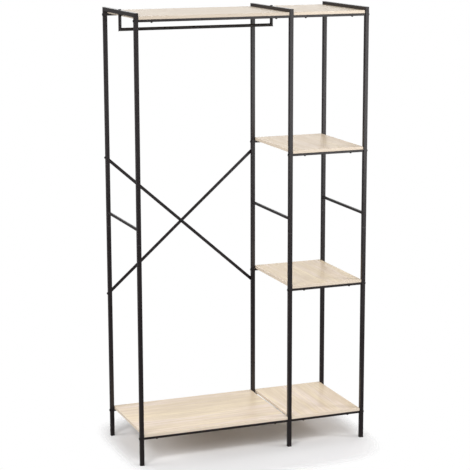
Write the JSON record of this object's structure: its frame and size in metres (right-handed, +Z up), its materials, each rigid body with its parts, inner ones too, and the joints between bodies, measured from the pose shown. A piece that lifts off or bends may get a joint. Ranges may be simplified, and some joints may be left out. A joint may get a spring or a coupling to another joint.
{
  "type": "open-front wardrobe",
  "caption": "Open-front wardrobe in black tube with a hanging bay, a clothes rail and a cross brace beside a bay of light wood-look shelves.",
  "frame": {"origin": "on the floor, in the middle of the whole object's width and depth", "axes": "+Z up, +X to the narrow bay's side (the right, seen from the front), +Y to the rear, so the open front faces -Y"},
  "size_m": [0.9906, 0.4302, 1.8033],
  "materials": {
    "black_powder_coat": "satin black powder coat",
    "wood_look_board": "light wood-look laminate, semi-gloss",
    "black_plastic": "moulded black plastic",
    "black_bolts": "black oxide",
    "black_screws": "black phosphate",
    "zinc_fittings": "zinc plated"
  },
  "bodies": {
    "root": {"board_narrow_bottom": "wood_look_board", "board_narrow_lower": "wood_look_board", "board_narrow_top": "wood_look_board", "board_narrow_upper": "wood_look_board", "board_screws": "black_screws", "board_wide_bottom": "wood_look_board", "board_wide_top": "wood_look_board", "brace_centre_bolt": "black_bolts", "brace_centre_nut": "black_bolts", "brace_end_bolts": "black_bolts", "brace_falling": "black_powder_coat", "brace_rising": "black_powder_coat", "brace_weld_nuts": "zinc_fittings", "clothes_bar": "black_powder_coat", "clothes_rail_bolts": "black_bolts", "clothes_upright_left": "black_powder_coat", "clothes_upright_middle": "black_powder_coat", "clothes_upright_plugs": "zinc_fittings", "foot_cap_left_front": "black_plastic", "foot_cap_left_rear": "black_plastic", "foot_cap_middle_front": "black_plastic", "foot_cap_middle_rear": "black_plastic", "foot_cap_right_front": "black_plastic", "foot_cap_right_rear": "black_plastic", "lower_post_left_front": "black_powder_coat", "lower_post_left_rear": "black_powder_coat", "lower_post_middle_front": "black_powder_coat", "lower_post_middle_rear": "black_powder_coat", "lower_post_right_front": "black_powder_coat", "lower_post_right_rear": "black_powder_coat", "post_sleeves": "zinc_fittings", "rail_bolts": "black_bolts", "rail_end_plugs": "zinc_fittings", "rail_studs": "zinc_fittings", "shelf_rail_narrow_bottom_front": "black_powder_coat", "shelf_rail_narrow_bottom_rear": "black_powder_coat", "shelf_rail_narrow_lower_front": "black_powder_coat", "shelf_rail_narrow_lower_rear": "black_powder_coat", "shelf_rail_narrow_top_front": "black_powder_coat", "shelf_rail_narrow_top_rear": "black_powder_coat", "shelf_rail_narrow_upper_front": "black_powder_coat", "shelf_rail_narrow_upper_rear": "black_powder_coat", "shelf_rail_wide_bottom_front": "black_powder_coat", "shelf_rail_wide_bottom_rear": "black_powder_coat", "shelf_rail_wide_top_front": "black_powder_coat", "shelf_rail_wide_top_rear": "black_powder_coat", "side_rung_left": "black_powder_coat", "side_rung_middle": "black_powder_coat", "side_rung_right": "black_powder_coat", "top_rail_left": "black_powder_coat", "top_rail_middle": "black_powder_coat", "top_rail_right": "black_powder_coat", "upper_post_left_front": "black_powder_coat", "upper_post_left_rear": "black_powder_coat", "upper_post_middle_front": "black_powder_coat", "upper_post_middle_rear": "black_powder_coat", "upper_post_right_front": "black_powder_coat", "upper_post_right_rear": "black_powder_coat"}
  },
  "joints": []
}
